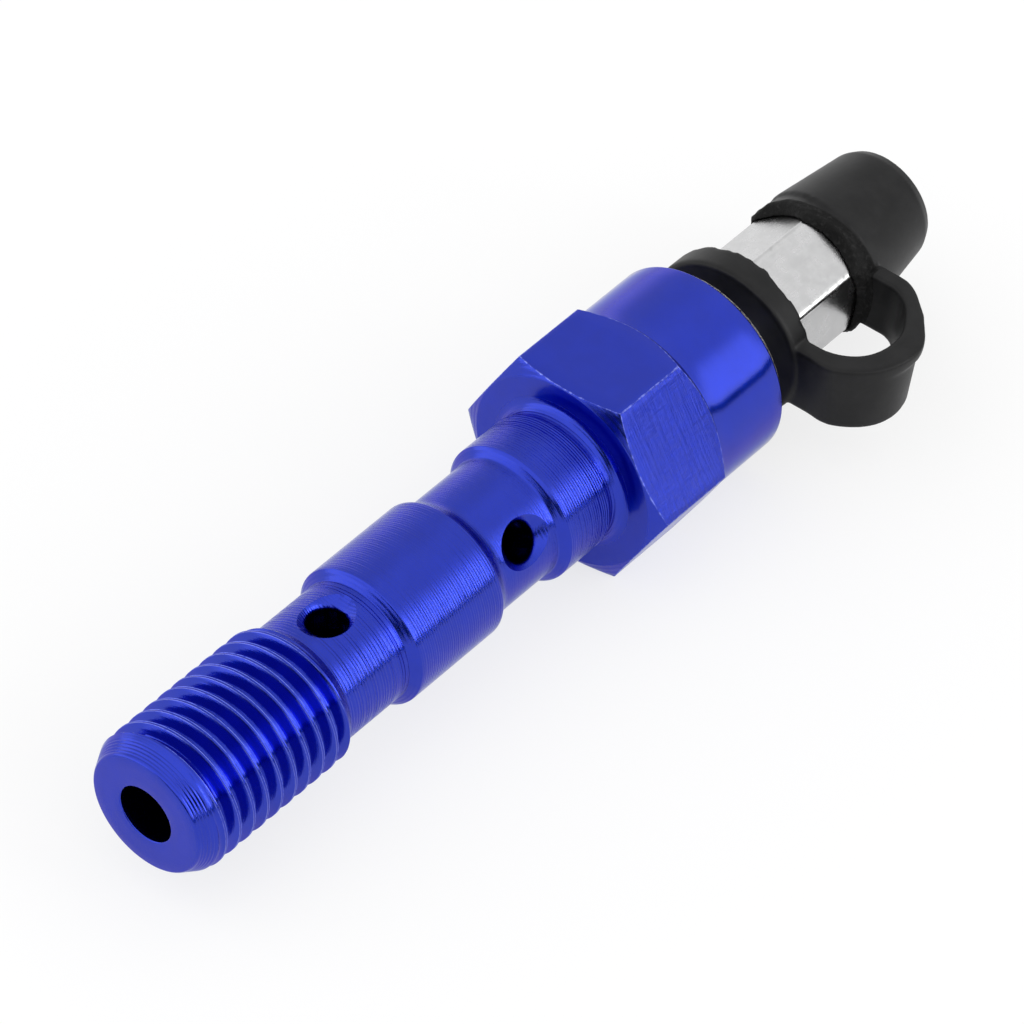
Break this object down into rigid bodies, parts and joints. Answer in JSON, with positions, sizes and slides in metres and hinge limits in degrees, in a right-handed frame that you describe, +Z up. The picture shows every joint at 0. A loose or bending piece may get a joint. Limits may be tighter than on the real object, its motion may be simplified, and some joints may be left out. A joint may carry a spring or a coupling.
{
  "type": "bleeder screw",
  "caption": "Double banjo bolt in blue anodised aluminium with a steel bleed nipple in its head under a rubber dust cap on a looped strap.",
  "frame": {"origin": "on the bolt's axis, in the plane of the seating face under the head", "axes": "+X along the axis from the thread to the dust cap, +Z up with a spanner flat at the bottom, -Y to the side where the cap's strap loops out"},
  "size_m": [0.0727, 0.0196, 0.014],
  "materials": {
    "blue_anodising": "bright anodised, finely turned",
    "plated_steel": "bright plated",
    "black_rubber": "moulded, satin"
  },
  "bodies": {
    "bolt": {"banjo_bolt": "blue_anodising"},
    "nipple": {"bleed_nipple": "plated_steel"},
    "cap": {"dust_cap": "black_rubber"}
  },
  "joints": [
    {"name": "nipple_turn", "type": "hinge", "parent": "bolt", "child": "nipple", "pos_m": [0.0141, 0, 0], "axis": [1, 0, 0], "range_deg": [0, 360]},
    {"name": "cap_pull", "type": "slide", "parent": "nipple", "child": "cap", "axis": [1, 0, 0], "range_m": [0, 0.009], "deforming": ["dust_cap"]}
  ]
}
